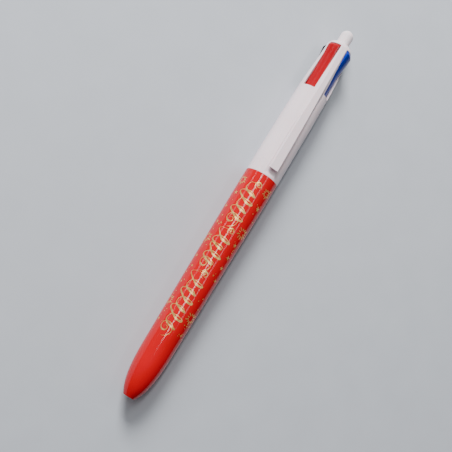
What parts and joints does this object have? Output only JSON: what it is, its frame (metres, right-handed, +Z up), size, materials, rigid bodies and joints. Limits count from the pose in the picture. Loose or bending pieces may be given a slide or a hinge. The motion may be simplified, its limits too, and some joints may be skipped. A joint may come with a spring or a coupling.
{
  "type": "multicolor click pen",
  "caption": "Retractable multicolor ballpoint pen: tapered screw-on lower barrel, upper barrel with a long moulded clip, thumb sliders in slots, and a round-ended knob.",
  "frame": {"origin": "middle of the bounding box's bottom, under the pen as it lies on its barrel", "axes": "+X along the pen from the writing nose to the knob; +Z up, towards the clip; +Y the red slider's side"},
  "size_m": [0.1464, 0.0118, 0.0133],
  "materials": {
    "barrel_red": "gloss moulded",
    "barrel_white": "satin moulded",
    "knob_white": "satin moulded",
    "insert_grey": "matte moulded",
    "spring_steel": "drawn wire",
    "refill_plastic": "translucent extruded",
    "tip_brass": "turned",
    "ball_carbide": "polished",
    "foil_gold": "hot-stamped foil",
    "slider_red": "satin moulded",
    "slider_blue": "satin moulded",
    "slider_black": "satin moulded",
    "slider_green": "satin moulded",
    "ink_red": "liquid",
    "ink_blue": "liquid",
    "ink_black": "liquid",
    "ink_green": "liquid"
  },
  "bodies": {
    "barrel": {"lower_barrel": "barrel_red", "upper_barrel": "barrel_white", "guide_insert": "insert_grey", "top_knob": "knob_white", "spring_red": "spring_steel", "spring_blue": "spring_steel", "spring_black": "spring_steel", "spring_green": "spring_steel"},
    "slider_red": {"slider_red": "slider_red"},
    "refill_red": {"refill_tube_red": "refill_plastic", "ink_red": "ink_red", "writing_tip_red": "tip_brass", "writing_ball_red": "ball_carbide"},
    "slider_blue": {"slider_blue": "slider_blue"},
    "refill_blue": {"refill_tube_blue": "refill_plastic", "ink_blue": "ink_blue", "writing_tip_blue": "tip_brass", "writing_ball_blue": "ball_carbide"},
    "slider_black": {"slider_black": "slider_black"},
    "refill_black": {"refill_tube_black": "refill_plastic", "ink_black": "ink_black", "writing_tip_black": "tip_brass", "writing_ball_black": "ball_carbide"},
    "slider_green": {"slider_green": "slider_green"},
    "refill_green": {"refill_tube_green": "refill_plastic", "ink_green": "ink_green", "writing_tip_green": "tip_brass", "writing_ball_green": "ball_carbide"}
  },
  "joints": [
    {"name": "slider_red_slide", "type": "slide", "parent": "barrel", "child": "slider_red", "axis": [-1, 0, 0], "range_m": [0, 0.0085], "stiffness_N_per_m": 203, "springref_m": -0.002, "deforming": ["spring_red"]},
    {"name": "refill_red_bend", "type": "hinge", "parent": "slider_red", "child": "refill_red", "pos_m": [0.03335, 0.00205, 0.008], "axis": [0, -0.7071, 0.7071], "range_deg": [0, 1.51], "deforming": ["refill_tube_red", "ink_red", "writing_tip_red", "writing_ball_red"]},
    {"name": "slider_blue_slide", "type": "slide", "parent": "barrel", "child": "slider_blue", "axis": [-1, 0, 0], "range_m": [0, 0.0085], "stiffness_N_per_m": 203, "springref_m": -0.002, "deforming": ["spring_blue"]},
    {"name": "refill_blue_bend", "type": "hinge", "parent": "slider_blue", "child": "refill_blue", "pos_m": [0.03335, -0.00205, 0.008], "axis": [0, -0.7071, -0.7071], "range_deg": [0, 1.51], "deforming": ["refill_tube_blue", "ink_blue", "writing_tip_blue", "writing_ball_blue"]},
    {"name": "slider_black_slide", "type": "slide", "parent": "barrel", "child": "slider_black", "axis": [-1, 0, 0], "range_m": [0, 0.0085], "stiffness_N_per_m": 203, "springref_m": -0.002, "deforming": ["spring_black"]},
    {"name": "refill_black_bend", "type": "hinge", "parent": "slider_black", "child": "refill_black", "pos_m": [0.03335, 0.00205, 0.0039], "axis": [0, 0.7071, 0.7071], "range_deg": [0, 1.51], "deforming": ["refill_tube_black", "ink_black", "writing_tip_black", "writing_ball_black"]},
    {"name": "slider_green_slide", "type": "slide", "parent": "barrel", "child": "slider_green", "axis": [-1, 0, 0], "range_m": [0, 0.0085], "stiffness_N_per_m": 203, "springref_m": -0.002, "deforming": ["spring_green"]},
    {"name": "refill_green_bend", "type": "hinge", "parent": "slider_green", "child": "refill_green", "pos_m": [0.03335, -0.00205, 0.0039], "axis": [0, 0.7071, -0.7071], "range_deg": [0, 1.51], "deforming": ["refill_tube_green", "ink_green", "writing_tip_green", "writing_ball_green"]}
  ],
  "couplings": [
    {"joint": "refill_red_bend", "follows": "slider_red_slide", "rad_per_m": 3.0869},
    {"joint": "refill_blue_bend", "follows": "slider_blue_slide", "rad_per_m": 3.0869},
    {"joint": "refill_black_bend", "follows": "slider_black_slide", "rad_per_m": 3.0869},
    {"joint": "refill_green_bend", "follows": "slider_green_slide", "rad_per_m": 3.0869}
  ]
}
